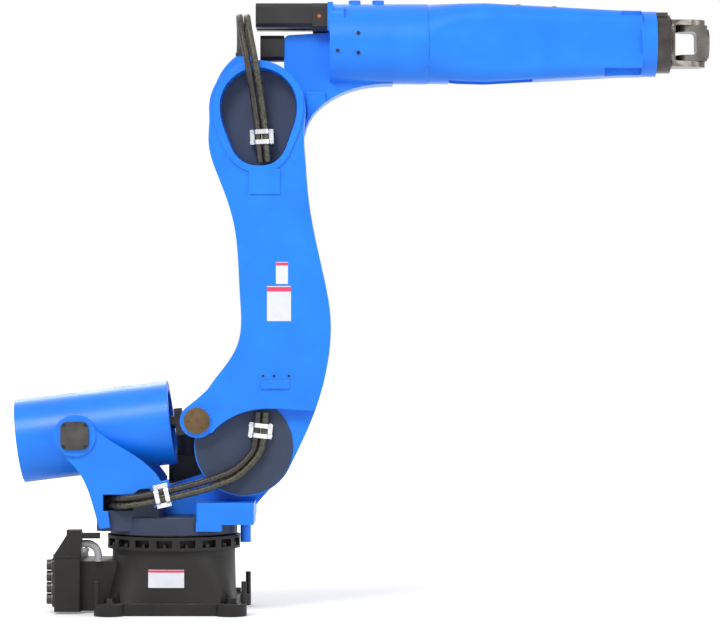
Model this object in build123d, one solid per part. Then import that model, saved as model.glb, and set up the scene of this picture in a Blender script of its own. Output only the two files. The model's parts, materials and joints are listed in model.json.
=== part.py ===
from build123d import *
import math
import os

# Six axis handling robot with a spring balancer, standing on its cast foot.
# Millimetres, +Z up, +X towards the tool, -Y is the side that carries the lower arm.
# The origin is on the floor on the turning axis of the carousel.

# Joint axes in the side view, as (x, z)
SHOULDER = (230, 530)
ELBOW = (270, 1590)
FOREARM_Z = 1810
WRIST_X = 1650
TRUNNION = (-300, 565)
BALANCER_PIN = (83, 612)

# Gaps
SEAT_GAP = 0.3
RUN_GAP = 6
PIN_GAP = 0.05

# Base
BASE_HEIGHT = 245
RING_RADIUS = 212
RING_HEIGHT = 42
FOOT_HALF = 208
FOOT_THICK = 38
LUG_OFFSET = 190
LUG_RADIUS = 50
LUG_SEAT_RADIUS = 32
LUG_POST_RADIUS = 8.5
LUG_POST_HEIGHT = 70
ANCHOR_HOLE_RADIUS = 13
POCKET_COUNT = 18
POCKET_SIZE = (26, 50, 24)
SLEW_RADIUS = 165

# Connector box at the back of the base
BOX_BACK = -370
BOX_FRONT = -286
BOX_HALF_WIDTH = 150
BOX_BOTTOM = 8
BOX_TOP = 178
LID_THICK = 10
PANEL_THICK = 6
CONNECTOR_RADIUS = 17
CONNECTOR_LENGTH = 20
CONNECTOR_PITCH = 36
THROAT_HALF_WIDTH = 110
THROAT_TOP = 165
TERMINAL_X = (-330, -284)
TERMINAL_Y = (-150, -95)
TERMINAL_TOP = BASE_HEIGHT + 21
TERMINAL_BAR_Y = (-148, -124)
TERMINAL_BAR_HEIGHT = 18
CONDUIT_RADIUS = 12
CONDUIT_Y = -118

# Depths of the layers across the arm, along Y
ARM_NEAR = -185
ARM_FAR = -50
ARM_RECESS_FLOOR = -140
EGG_FLOOR = -122
HOUSING_NEAR = 12
HOUSING_FAR = 105
BRACKET_NEAR = -160
BRACKET_FAR = 120
BRACKET_THICK = 30

# Carousel
DECK_RADIUS = 203
DECK_BOTTOM = BASE_HEIGHT + RUN_GAP
DECK_TOP = DECK_BOTTOM + 54
REAR_X = (-236, -30)
REAR_BOTTOM = DECK_BOTTOM + 12
REAR_TOP = 395
OUTLET_X = (-212, -119)
OUTLET_Z = (328, 380)
OUTLET_DEPTH = 50
NOSE_X = (80, 262)
NOSE_NEAR = -195
NOSE_BOTTOM = DECK_BOTTOM + 34
NOSE_TOP = 354
TAB_X = (80, 160)
TAB_BOTTOM = DECK_BOTTOM + 13
SLEW_MOTOR_SIDE = 124
SLEW_MOTOR_X = 37
SLEW_MOTOR_NEAR = 126
SLEW_MOTOR_BOTTOM = 375
SLEW_MOTOR_HEIGHT = 189
SHOULDER_RADIUS = 155
REDUCER_RADIUS = 88
STOP_PIN_RADIUS = 17
STOP_PIN_X = 231
STOP_PIN_Y = -40
STOP_PIN_LENGTH = 64

# Balancer
BARREL_RADIUS = 133
BARREL_WALL = 10
MOUTH_RADIUS = 104
BARREL_REAR = 190
BARREL_FRONT = 298
BARREL_Y = -20
TRUNNION_RADIUS = 28
TRUNNION_BOSS = 66
ROD_RADIUS = 20
ROD_LENGTH = 320
EYE_RADIUS = 42
EYE_THICK = 44
COLLAR_HALF_HEIGHT = 43
COLLAR_HALF_WIDTH = 24
COLLAR_THICK = 26
COLLAR_SET_BACK = 52
PIN_RADIUS = 22
PIN_HEAD_RADIUS = 41
LUG_EYE_RADIUS = 54

# Lower arm
ARM_BOSS_RADIUS = 158
HEAD_RADIUS = 151
HEAD_CENTRE = (ELBOW[0] + 2, ELBOW[1] + 4)
EGG_RADIUS = 122
EGG_CENTRE = (ELBOW[0] + 6, ELBOW[1] + 9)
EGG_TIP = (279, 1413)
RIM_WIDTH = 20
RIM_PROUD = 6
COVER_THICK = 3
COVER_INSET = 4

# Elbow and forearm
HUB_RADIUS = 148
HUB_NEAR = ARM_FAR + RUN_GAP
HUB_FAR = 112
HUB_STEP_RADIUS = 108
WEB_NEAR = HUB_NEAR + 14
WEB_FAR = HUB_FAR - 8
WEB_REAR = 353
LOBE_X = (200, 262)
LOBE_TOP = 1768
HEAD_FRONT = 545
HEAD_HALF_WIDTH = 106
LIFTING_BOSS_X = (578, 653)
LIFTING_BOSS_RADIUS = 19
TUBE_RADIUS = 128
TUBE_REAR = 500
TUBE_FRONT = 808
REDUCER_RING_RADIUS = TUBE_RADIUS - 1
FOREARM_REAR = 814
FOREARM_STATIONS = (
    (FOREARM_REAR, 252, 250, 122),
    (905, 252, 222, 70),
    (995, 254, 214, 60),
    (1424, 207, 186, 44),
    (1491, 205, 184, 44),
)
FOREARM_FRONT = 1539
FOREARM_END_RADIUS = 104
NECK_FRONT = 1584
NECK_RADIUS = 93

# Motors: square body, length
MOTOR_SIDE = 76
MOTOR_FLANGE_SIDE = 86
MOTOR_FLANGE_LENGTH = 48
MOTOR_LENGTH = 228
MOTOR_TOP = 1934
MOTOR_FRONT = 492
MOTOR_SPREAD = 50
MOTOR_FLOOR_GAP = 3
PLATE_THICK = 8
PLATE_HALF_WIDTH = 104
ROLL_MOTOR_SIDE = 80
ROLL_MOTOR_LENGTH = 76
ROLL_MOTOR_Z = 1796
SIDE_MOTOR_SIDE = 118
SIDE_MOTOR_LENGTH = 210

# Wrist
FORK_HALF = 75
FORK_FRONT = 1701
CHEEK_THICK = 18
CHEEK_RADIUS = 48
ROOT_FACE = 1597
CORE_RADIUS = 46
CORE_PLATE_REAR = 1668
CORE_CORNER = 14
WINDOW_HEIGHT = 73
FLANGE_FACE = 1709
FLANGE_RADIUS = 48
FLANGE_THICK = 8
TOOL_PCD = 80
TOOL_HOLE_RADIUS = 3.4
TOOL_HOLES = 6
TOOL_BORE_RADIUS = 25

# Hoses that carry the cables, two side by side in each run
HOSE_RADIUS = 11
HOSE_SPREAD = 12
CLAMP_BAND = 14
CLAMP_LENGTH = 46
CLAMP_HALF_WIDTH = 37
CLAMP_WALL = 2
CLAMP_FOOT_LIFT = 4
CLAMP_PLAY = 0.6
SLEEVE_RADIUS = 14
SLEEVE_LENGTH = 12

# Routes of the hose pairs as (x, y, z), the line between the two hoses
CAROUSEL_ROUTE = (
    (-200, -120, 354), (-176, -172, 354), (-130, -205, 358), (-75, -205, 366), (25, -205, 388),
    (95, -200, 405), (155, -182, 424), (210, -165, 446),
)
SHOULDER_ROUTE = ((268, -165, 505), (278, -165, 545), (286, -165, 615), (286, -165, 638))
ARM_ROUTE = ((293, -165, 1424), (288, -165, 1468), (284, -165, 1542), (280, -165, 1568))
ELBOW_ROUTE = (
    (273, -168, 1622), (268, -187, 1658), (261, -214, 1700), (250, -218, 1765), (238, -210, 1822),
    (229, -166, 1873), (226, -116, 1889), (225, -78, 1880), (225, -48, 1857), (225, -32, 1826), (225, -32, 1792),
)
CONDUIT_ROUTE = ((-283.7, 222), (-258, 222), (-238, 208), (-232, 188), (-232, THROAT_TOP + SEAT_GAP))

os.makedirs("parts", exist_ok=True)


def save(name, shape):
    """Write one node. The file's name is the node's name."""
    if isinstance(shape, (list, tuple, ShapeList)):
        shape = Compound(children=list(shape))
    export_step(shape, "parts/" + name + ".step")


def side_extrude(sketch, near, far):
    """Extrude a sketch drawn as (x, z) from the depth near to the depth far."""
    plane = Plane(origin=(0, near, 0), x_dir=(1, 0, 0), z_dir=(0, -1, 0))
    return extrude(plane * sketch, amount=-(far - near))


def disc_y(centre, radius, near, far):
    """A round disc or bar across the arm, at (x, z)."""
    return side_extrude(Pos(centre[0], centre[1]) * Circle(radius), near, far)


def disc_x(z, radius, rear, front, y=0):
    """A round disc or bar along the forearm."""
    plane = Plane(origin=(rear, y, z), x_dir=(0, 1, 0), z_dir=(1, 0, 0))
    return extrude(plane * Circle(radius), amount=front - rear)


def block(x, y, z):
    """A box given by its low and high edge along each direction."""
    size = [high - low for low, high in (x, y, z)]
    middle = [(high + low) / 2 for low, high in (x, y, z)]
    return Pos(*middle) * Box(*size)


def area(*edges):
    return make_face(Curve() + list(edges))


def base_skirt(grow=0):
    """The body of the base between its foot plate and its top ring, grown sideways by an amount."""
    half = FOOT_HALF - 10 + grow
    radius = RING_RADIUS - 16 + grow
    shoulder_z = BASE_HEIGHT - RING_HEIGHT - 18
    low = fillet(Rectangle(2 * half, 2 * half).vertices(), 70)
    return loft([Pos(0, 0, FOOT_THICK) * low, Pos(0, 0, shoulder_z) * Circle(radius)])


def base_casting():
    foot = Rectangle(2 * FOOT_HALF, 2 * FOOT_HALF)
    foot = fillet(foot.vertices(), 40)
    corners = [(sx, sy) for sx in (-1, 1) for sy in (-1, 1)]
    for sx, sy in corners:
        foot += Pos(sx * LUG_OFFSET, sy * LUG_OFFSET) * Circle(LUG_RADIUS)
    plate = extrude(foot, amount=FOOT_THICK)
    ring_bottom = BASE_HEIGHT - RING_HEIGHT
    neck = Pos(0, 0, ring_bottom - 18) * extrude(Circle(RING_RADIUS - 16), amount=18)
    ring = Pos(0, 0, ring_bottom) * extrude(Circle(RING_RADIUS), amount=RING_HEIGHT)
    body = plate + base_skirt() + neck + ring
    depth, width, height = POCKET_SIZE
    for i in range(POCKET_COUNT):
        cutter = Pos(RING_RADIUS, 0, BASE_HEIGHT - 9 - height / 2) * Box(2 * depth, width, height)
        body -= Rot(0, 0, 5 + 360 / POCKET_COUNT * i) * cutter
    post_x = LUG_OFFSET + (LUG_SEAT_RADIUS + LUG_RADIUS) / 2
    for sx, sy in corners:
        middle = Pos(sx * LUG_OFFSET, sy * LUG_OFFSET, FOOT_THICK)
        body -= middle * extrude(Circle(LUG_SEAT_RADIUS), amount=BASE_HEIGHT)
        body -= Pos(sx * LUG_OFFSET, sy * LUG_OFFSET) * extrude(Circle(ANCHOR_HOLE_RADIUS), amount=FOOT_THICK)
        body += Pos(sx * post_x, sy * LUG_OFFSET, FOOT_THICK) * extrude(Circle(LUG_POST_RADIUS), amount=LUG_POST_HEIGHT)
    return body


def slewing_ring():
    return Pos(0, 0, BASE_HEIGHT) * extrude(Circle(SLEW_RADIUS), amount=RUN_GAP - SEAT_GAP)


def connector_box():
    body = block((BOX_BACK, BOX_FRONT), (-BOX_HALF_WIDTH, BOX_HALF_WIDTH), (BOX_BOTTOM, BOX_TOP))
    body = fillet(body.edges().filter_by(Axis.Z), 8)
    reach = -RING_RADIUS + 40
    throat = block((BOX_FRONT, reach), (-THROAT_HALF_WIDTH, THROAT_HALF_WIDTH), (BOX_BOTTOM, THROAT_TOP))
    throat -= block((-FOOT_HALF - SEAT_GAP, 0), (-FOOT_HALF, FOOT_HALF), (0, FOOT_THICK + SEAT_GAP))
    return body + (throat - base_skirt(SEAT_GAP))


def box_lid():
    low = block((BOX_BACK - 2, BOX_FRONT + 2), (-BOX_HALF_WIDTH - 2, BOX_HALF_WIDTH + 2), (BOX_TOP, BOX_TOP + LID_THICK))
    return fillet(low.edges().filter_by(Axis.Z), 8)


def rear_panel():
    back = BOX_BACK - PANEL_THICK
    body = block((back, BOX_BACK), (-BOX_HALF_WIDTH + 12, BOX_HALF_WIDTH - 12), (BOX_BOTTOM + 14, BOX_TOP - 12))
    for y in (-104, 104):
        for i in range(4):
            z = BOX_TOP - 24 - CONNECTOR_PITCH * i
            body += disc_x(z, CONNECTOR_RADIUS, back - CONNECTOR_LENGTH, back, y)
    return body


def terminal_block():
    """Cable block on the lid: a sloping hood behind it and a bar that ends clear of the stop pin's path."""
    floor_z = BOX_TOP + LID_THICK
    near, far = TERMINAL_Y
    body = block(TERMINAL_X, TERMINAL_Y, (floor_z, TERMINAL_TOP))
    hood = Polygon((BOX_BACK, floor_z), (TERMINAL_X[0] + 5, floor_z), (TERMINAL_X[0] + 5, TERMINAL_TOP - 8), align=None)
    swept = math.hypot(STOP_PIN_X, STOP_PIN_Y) + STOP_PIN_RADIUS + RUN_GAP
    reach = -math.sqrt(swept**2 - TERMINAL_BAR_Y[1] ** 2)
    bar_top = REAR_BOTTOM - RUN_GAP
    bar = block((TERMINAL_X[1] - 10, reach), TERMINAL_BAR_Y, (bar_top - TERMINAL_BAR_HEIGHT, bar_top))
    return body + side_extrude(hood, near, far) + bar


def cable_conduit():
    """A bent conduit from the cable block down into the top of the throat."""
    points = [(x, CONDUIT_Y, z) for x, z in CONDUIT_ROUTE]
    return tube_along(points, CONDUIT_RADIUS)


def deck_disc(grow=0):
    """The round deck, grown by an amount where another piece is cut to fit it."""
    height = DECK_TOP - DECK_BOTTOM + 2 * grow
    return Pos(0, 0, DECK_BOTTOM - grow) * extrude(Circle(DECK_RADIUS + grow), amount=height)


def turntable():
    """The deck on the slewing ring with the block behind it, open at the side where the hoses come out."""
    rear = block(REAR_X, (BRACKET_NEAR, BRACKET_FAR), (REAR_BOTTOM, REAR_TOP))
    rear = fillet(rear.edges().filter_by(Axis.Z), 24)
    outlet = block(OUTLET_X, (BRACKET_NEAR - 10, BRACKET_NEAR + OUTLET_DEPTH), OUTLET_Z)
    return deck_disc() + rear - outlet


def carousel_casting():
    """The frame on the turntable: web, shoulder housing, nose over the deck's rim and pad of the slew motor."""
    sx, sz = SHOULDER
    rear_x = REAR_X[1] + SEAT_GAP
    floor_z = DECK_TOP + SEAT_GAP
    web = Polygon((rear_x, floor_z), (NOSE_X[1], floor_z), (NOSE_X[1], 336), (sx + 142, sz - 70), (sx, sz),
                  (sx - 125, sz - 92), (rear_x, REAR_TOP), align=None)
    wall = side_extrude(web + Pos(sx, sz) * Circle(SHOULDER_RADIUS), HOUSING_NEAR, HOUSING_FAR)
    nose = block(NOSE_X, (NOSE_NEAR, HOUSING_NEAR + 10), (NOSE_BOTTOM, NOSE_TOP))
    nose = fillet(nose.edges().filter_by(Axis.Z), 9)
    tab = block(TAB_X, (NOSE_NEAR, -DECK_RADIUS / 2), (TAB_BOTTOM, NOSE_BOTTOM + 10))
    half = SLEW_MOTOR_SIDE / 2 + 6
    pad_x = (max(SLEW_MOTOR_X - half, rear_x), SLEW_MOTOR_X + half)
    pad = block(pad_x, (HOUSING_FAR - 10, SLEW_MOTOR_NEAR + 2 * half), (floor_z, SLEW_MOTOR_BOTTOM))
    return wall + (nose + tab - deck_disc(SEAT_GAP)) + pad


def bracket(near, far, boss_near, boss_far, tongue=False):
    """A side plate of the balancer seat, with its trunnion eye and, on one side, a tongue for the hose clamp."""
    tx, tz = TRUNNION
    window_x, sill_z = OUTLET_X[0], OUTLET_Z[0]
    lintel_z = OUTLET_Z[1]
    left = Spline((tx - 58, tz - 22), (-288, 450), (-252, 372), (-222, 272), tangents=((0.4, -1), (0.35, -1)))
    outline = area(
        left,
        Line((-222, 272), (-190, 276)),
        Line((-190, 276), (-196, sill_z)),
        Line((-196, sill_z), (window_x, sill_z)),
        Line((window_x, sill_z), (window_x, lintel_z)),
        Line((window_x, lintel_z), (OUTLET_X[1], lintel_z)),
        Line((OUTLET_X[1], lintel_z), (-96, REAR_TOP + 2)),
        Line((-96, REAR_TOP + 2), (-30, REAR_TOP + 7)),
        Line((-30, REAR_TOP + 7), (-30, 420)),
        Spline((-30, 420), (-64, 464), (-164, 533), (tx + 46, tz + 36)),
        Line((tx + 46, tz + 36), (tx - 58, tz - 22)),
    )
    outline += Pos(tx, tz) * Circle(TRUNNION_BOSS - 4)
    if tongue:
        outline += Pos(-29, REAR_TOP - 12) * Rot(0, 0, 12) * Rectangle(62, 76)
    plate = side_extrude(outline, near, far)
    plate += disc_y(TRUNNION, TRUNNION_BOSS, boss_near, boss_far)
    return plate - disc_y(TRUNNION, TRUNNION_RADIUS + PIN_GAP, near - 50, far + 50)


def trunnion_cap(near, far):
    body = side_extrude(Pos(*TRUNNION) * fillet(Rectangle(88, 88).vertices(), 22), near, far)
    return body


def balancer_frame():
    """The slope of the balancer's own axis, from the trunnion to the pin on the arm."""
    run = BALANCER_PIN[0] - TRUNNION[0]
    rise = BALANCER_PIN[1] - TRUNNION[1]
    length = math.hypot(run, rise)
    return length, math.degrees(math.atan2(rise, run))


def along_balancer(start, radius, length):
    """A round bar on the balancer's axis, from start ahead of the trunnion."""
    angle = math.radians(balancer_frame()[1])
    direction = (math.cos(angle), 0, math.sin(angle))
    origin = (TRUNNION[0] + start * direction[0], BARREL_Y, TRUNNION[1] + start * direction[2])
    return extrude(Plane(origin=origin, z_dir=direction) * Circle(radius), amount=length)


def balancer_barrel():
    length = BARREL_REAR + BARREL_FRONT
    tube = along_balancer(-BARREL_REAR, BARREL_RADIUS, length)
    reach_near = BRACKET_NEAR - BRACKET_THICK - 6
    reach_far = BRACKET_FAR + BRACKET_THICK + 6
    pins = disc_y(TRUNNION, TRUNNION_RADIUS, reach_near, reach_far)
    collars = disc_y(TRUNNION, TRUNNION_BOSS - 12, BRACKET_NEAR + SEAT_GAP, BRACKET_FAR - SEAT_GAP)
    bore = along_balancer(-BARREL_REAR + BARREL_WALL, BARREL_RADIUS - BARREL_WALL, length - 2 * BARREL_WALL)
    mouth = along_balancer(0, MOUTH_RADIUS, BARREL_FRONT)
    return tube + pins + collars - bore - mouth


def rod():
    length, slope = balancer_frame()
    bar = along_balancer(length - ROD_LENGTH, ROD_RADIUS, ROD_LENGTH)
    collar = Box(COLLAR_THICK, 2 * COLLAR_HALF_WIDTH, 2 * COLLAR_HALF_HEIGHT)
    back = COLLAR_SET_BACK + COLLAR_THICK / 2
    collar = Pos(BALANCER_PIN[0], BARREL_Y, BALANCER_PIN[1]) * Rot(0, -slope, 0) * Pos(-back, 0, 0) * collar
    eye = disc_y(BALANCER_PIN, EYE_RADIUS, BARREL_Y - EYE_THICK / 2, BARREL_Y + EYE_THICK / 2)
    hole = disc_y(BALANCER_PIN, PIN_RADIUS + PIN_GAP, BARREL_Y - 60, BARREL_Y + 60)
    return bar + collar + eye - hole


def balancer_pin():
    face = ARM_NEAR - RIM_PROUD
    head = disc_y(BALANCER_PIN, PIN_HEAD_RADIUS, face - 8, face)
    shank = disc_y(BALANCER_PIN, PIN_RADIUS, face, BARREL_Y + EYE_THICK / 2 + 2)
    keeper = disc_y(BALANCER_PIN, PIN_RADIUS + 8, BARREL_Y + EYE_THICK / 2 + SEAT_GAP, BARREL_Y + EYE_THICK / 2 + 4)
    return head + shank + keeper


def on_circle(centre, radius, degrees):
    angle = math.radians(degrees)
    return (centre[0] + radius * math.cos(angle), centre[1] + radius * math.sin(angle))


def circles_meet(a, ra, b, rb, side):
    """Where two circles cross, on the chosen side of the line from a to b."""
    dx, dz = b[0] - a[0], b[1] - a[1]
    gap = math.hypot(dx, dz)
    along = (ra * ra - rb * rb + gap * gap) / (2 * gap)
    across = side * math.sqrt(ra * ra - along * along)
    return (a[0] + (along * dx - across * dz) / gap, a[1] + (along * dz + across * dx) / gap)


def arm_profile():
    """The lower arm from the side: a bowed casting, round head, shoulder boss and balancer lug."""
    lug_start = on_circle(BALANCER_PIN, LUG_EYE_RADIUS, 128)
    lug_side = on_circle(BALANCER_PIN, LUG_EYE_RADIUS, 185)
    lug_end = circles_meet(SHOULDER, ARM_BOSS_RADIUS, BALANCER_PIN, LUG_EYE_RADIUS, 1)
    boss_low = on_circle(SHOULDER, ARM_BOSS_RADIUS, 262)
    boss_end = on_circle(SHOULDER, ARM_BOSS_RADIUS, 334)
    head_left = on_circle(HEAD_CENTRE, HEAD_RADIUS, 184)
    head_top = on_circle(HEAD_CENTRE, HEAD_RADIUS, 90)
    head_right = on_circle(HEAD_CENTRE, HEAD_RADIUS, -6)
    left = Spline(
        head_left, (120, 1479), (154, 1368), (196, 1243), (218, 1000), (203, 834), (137, 740), lug_start,
        tangents=((0.07, -1), (-0.79, -0.61)),
    )
    lug = ThreePointArc(lug_start, lug_side, lug_end)
    boss = ThreePointArc(lug_end, boss_low, boss_end)
    right = Spline(
        boss_end, (455, 645), (490, 775), (502, 935), (482, 1060), (452, 1195), (429, 1345), (422, 1440),
        head_right, tangents=((0.44, 0.9), (0.1, 1)),
    )
    return area(left, lug, boss, right, ThreePointArc(head_right, head_top, head_left))


def egg(grow):
    """The egg shaped recess of the elbow end, grown all round by an amount."""
    cx, cz = EGG_CENTRE
    r = EGG_RADIUS + grow
    tip = (EGG_TIP[0], EGG_TIP[1] - grow)
    flank = 0.82 * r
    flank_z = cz - 0.76 * r
    upper = ThreePointArc((cx - r, cz), (cx, cz + r), (cx + r, cz))
    right = Spline((cx + r, cz), (cx + flank, flank_z), tip, tangents=((0, -1), (-1, 0)))
    left = Spline(tip, (cx - flank, flank_z), (cx - r, cz), tangents=((-1, 0), (0, 1)))
    return area(upper, right, left)


def shoulder_recess(drop=0):
    """The stepped-back face around the shoulder, as (x, z), lowered by an amount at its upper edge."""
    edge = [(131, 575 - drop), (176, 614 - drop), (240, 642 - drop), (316, 650 - drop), (520, 646 - drop)]
    region = area(
        Spline(*edge),
        Line(edge[-1], (520, 300)),
        Line((520, 300), (0, 300)),
        Line((0, 300), (0, 540)),
        Line((0, 540), edge[0]),
    )
    return region - Pos(*BALANCER_PIN) * Circle(LUG_EYE_RADIUS + drop)


def lower_arm_casting():
    body = side_extrude(arm_profile(), ARM_NEAR, ARM_FAR)
    proud = ARM_NEAR - RIM_PROUD
    body += side_extrude(egg(RIM_WIDTH), proud, ARM_NEAR + 3)
    body += disc_y(BALANCER_PIN, PIN_HEAD_RADIUS + 5, proud, ARM_NEAR + 3)
    body += block((247, 344), (proud, ARM_NEAR + 3), (1324, 1404))
    body += block((284, 372), (proud, ARM_NEAR + 3), (712, 738))
    body -= side_extrude(shoulder_recess(), ARM_NEAR - 20, ARM_RECESS_FLOOR)
    body -= side_extrude(egg(0), ARM_NEAR - 20, EGG_FLOOR)
    body -= disc_y(BALANCER_PIN, PIN_RADIUS + PIN_GAP, ARM_NEAR - 20, ARM_FAR + 10)
    return body


def shoulder_cover_plate():
    """The plate on the floor of the shoulder recess."""
    disc = Pos(*SHOULDER) * Circle(ARM_BOSS_RADIUS - COVER_INSET)
    floor_y = ARM_RECESS_FLOOR - SEAT_GAP
    return side_extrude(disc & shoulder_recess(COVER_INSET), floor_y - COVER_THICK, floor_y)


def elbow_cover_plate():
    """The plate on the floor of the egg shaped recess."""
    floor_y = EGG_FLOOR - SEAT_GAP
    return side_extrude(egg(-COVER_INSET), floor_y - COVER_THICK, floor_y)


def elbow_casting():
    """The elbow hub with the lobe behind it, the web, the drive tube and the plate that the motors stand on."""
    ex, ez = ELBOW
    hub = disc_y(ELBOW, HUB_RADIUS, HUB_NEAR, HUB_FAR)
    hub += disc_y(ELBOW, HUB_STEP_RADIUS, ARM_FAR + SEAT_GAP, HUB_NEAR + 10)
    lobe = area(
        Spline((ex - HUB_RADIUS, ez), (146, 1704), (LOBE_X[0], LOBE_TOP), tangents=((0, 1), (0.8, 0.6))),
        Line((LOBE_X[0], LOBE_TOP), (LOBE_X[1], LOBE_TOP)),
        Line((LOBE_X[1], LOBE_TOP), (ex, ez)),
        Line((ex, ez), (ex - HUB_RADIUS, ez)),
    )
    web_top = MOTOR_TOP - MOTOR_FLANGE_SIDE - MOTOR_FLOOR_GAP
    cheek = area(
        Line((ex - 60, ez + 130), (WEB_REAR, 1690)),
        Line((WEB_REAR, 1690), (WEB_REAR, web_top - 26)),
        ThreePointArc((WEB_REAR, web_top - 26), (WEB_REAR + 5, web_top - 14), (WEB_REAR + 17, web_top - 8)),
        Line((WEB_REAR + 17, web_top - 8), (TUBE_REAR, web_top)),
        Line((TUBE_REAR, web_top), (700, web_top)),
        Line((700, web_top), (700, 1682)),
        Spline((700, 1682), (646, 1680), (557, 1661), (490, 1626), (445, 1584), (418, 1520)),
        Line((418, 1520), (ex, ez)),
        Line((ex, ez), (ex - 60, ez + 130)),
    )
    web = side_extrude(lobe, HUB_NEAR, WEB_FAR) + side_extrude(cheek, WEB_NEAR, WEB_FAR)
    stop = Polygon((426, 1570), (445, 1584), (484, 1622), (484, 1654), (426, 1654), align=None)
    stop = side_extrude(stop, HUB_NEAR, WEB_NEAR + 10)
    tube = disc_x(FOREARM_Z, TUBE_RADIUS, TUBE_REAR, TUBE_FRONT)
    head = block((TUBE_REAR, HEAD_FRONT), (-HEAD_HALF_WIDTH, HEAD_HALF_WIDTH), (FOREARM_Z - 60, MOTOR_TOP - 12))
    head = fillet(head.edges().filter_by(Axis.X), 26)
    plate = block((MOTOR_FRONT, TUBE_REAR + 10), (-PLATE_HALF_WIDTH, PLATE_HALF_WIDTH), (web_top, MOTOR_TOP + 2))
    ring = disc_x(FOREARM_Z, REDUCER_RING_RADIUS, TUBE_FRONT, FOREARM_REAR - SEAT_GAP)
    body = hub + web + stop + tube + head + plate + ring
    for x in LIFTING_BOSS_X:
        body += Pos(x, 0, FOREARM_Z + TUBE_RADIUS - 4) * Cylinder(LIFTING_BOSS_RADIUS, 30)
    return body


def elbow_connectors():
    """The block on the lobe with the two sleeves that the hoses end in."""
    top = ELBOW_ROUTE[-1][2]
    half = HOSE_SPREAD + SLEEVE_RADIUS
    x, y = ELBOW_ROUTE[-1][:2]
    shoulder_z = top - SLEEVE_LENGTH
    body = block((x - half, x + half), (HUB_NEAR, y + 2 * SLEEVE_RADIUS), (LOBE_TOP + SEAT_GAP, shoulder_z))
    for side in (-1, 1):
        place = Pos(x + side * HOSE_SPREAD, y, shoulder_z)
        body += place * extrude(Circle(SLEEVE_RADIUS - 2.5), amount=SLEEVE_LENGTH)
    return body


def tube_along(points, radius):
    """A round tube through straight runs joined by tangent arcs, each as large as its runs allow."""
    radii = []
    for before, here, after in zip(points, points[1:], points[2:]):
        first = Vector(*here) - Vector(*before)
        second = Vector(*after) - Vector(*here)
        half_turn = math.radians(first.get_angle(second)) / 2
        radii.append(0.45 * min(first.length, second.length) / math.tan(half_turn))
    path = FilletPolyline(*points, radius=radii)
    solid = sweep(Plane(origin=path @ 0, z_dir=path % 0) * Circle(radius), path=path)
    drift = solid.volume / (math.pi * radius**2 * path.length) - 1
    print("tube", round(path.length), "mm, bends", [round(r) for r in radii], "volume off by", round(drift, 4))
    return solid


def hose(route, side, across=None):
    """One hose of a pair, to one side of the route: square to its runs, or along a fixed direction in x."""
    normals = []
    for (x0, _, z0), (x1, _, z1) in zip(route, route[1:]):
        run = math.hypot(x1 - x0, z1 - z0)
        normals.append((-(z1 - z0) / run, (x1 - x0) / run))
    points = []
    for i, (x, y, z) in enumerate(route):
        before = normals[max(i - 1, 0)]
        after = normals[min(i, len(normals) - 1)]
        reach = side * HOSE_SPREAD / (1 + before[0] * after[0] + before[1] * after[1])
        shift = (reach * (before[0] + after[0]), reach * (before[1] + after[1]))
        if across is not None:
            shift = (side * HOSE_SPREAD * across, 0)
        points.append((x + shift[0], y, z + shift[1]))
    return tube_along(points, HOSE_RADIUS)


def clamp(route, number, seat):
    """A double strap over the hose pair at the middle of one run, with its feet on the seat behind."""
    start = Vector(*route[number])
    run = Vector(*route[number + 1]) - start
    along = run.normalized()
    across = Vector(0, 1, 0).cross(along)
    middle = start + run * 0.5
    plane = Plane(origin=middle - along * (CLAMP_LENGTH / 2), x_dir=across, z_dir=along)
    bore = SlotCenterToCenter(2 * HOSE_SPREAD, 2 * (HOSE_RADIUS + CLAMP_PLAY))
    strap = SlotCenterToCenter(2 * HOSE_SPREAD, 2 * (HOSE_RADIUS + CLAMP_WALL)) - bore
    foot_far = seat - middle.Y - SEAT_GAP
    foot = Pos(0, (CLAMP_FOOT_LIFT + foot_far) / 2) * Rectangle(2 * CLAMP_HALF_WIDTH, foot_far - CLAMP_FOOT_LIFT)
    body = extrude(plane * (foot - bore), amount=CLAMP_LENGTH)
    band = extrude(plane * strap, amount=CLAMP_BAND)
    shift = along * (CLAMP_LENGTH - CLAMP_BAND)
    return body + band + Pos(shift.X, shift.Y, shift.Z) * band


def square_motor_x(y, z, rear, front, side):
    """A servo motor along the forearm, with a square stator and chamfered corners."""
    stator = block((rear, front), (y - side / 2, y + side / 2), (z - side / 2, z + side / 2))
    return chamfer(stator.edges().filter_by(Axis.X), 12)


def wrist_motor(y):
    """One of the two long motors: stator with a larger square flange at its front."""
    body = square_motor_x(y, MOTOR_TOP - MOTOR_SIDE / 2, MOTOR_FRONT - MOTOR_LENGTH, MOTOR_FRONT, MOTOR_SIDE)
    flange_z = MOTOR_TOP - MOTOR_FLANGE_SIDE / 2
    return body + square_motor_x(y, flange_z, MOTOR_FRONT - MOTOR_FLANGE_LENGTH, MOTOR_FRONT, MOTOR_FLANGE_SIDE)


def side_motor(centre, near, side, length):
    """A servo motor across the arm, pointing away from the lower arm."""
    sketch = chamfer(Rectangle(side, side).vertices(), 16)
    body = side_extrude(Pos(*centre) * sketch, near, near + length * 0.62)
    body += side_extrude(Pos(*centre) * Circle(side / 2 - 4), near + length * 0.62, near + length)
    return body


def slew_motor():
    """The motor that turns the carousel: a square flange and stator with a round end bell."""
    y = SLEW_MOTOR_NEAR + SLEW_MOTOR_SIDE / 2
    place = Pos(SLEW_MOTOR_X, y, SLEW_MOTOR_BOTTOM)
    square = chamfer(Rectangle(SLEW_MOTOR_SIDE, SLEW_MOTOR_SIDE).vertices(), 14)
    body = place * extrude(square, amount=SLEW_MOTOR_HEIGHT * 0.6)
    return body + place * extrude(Circle(SLEW_MOTOR_SIDE / 2 - 5), amount=SLEW_MOTOR_HEIGHT)


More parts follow.
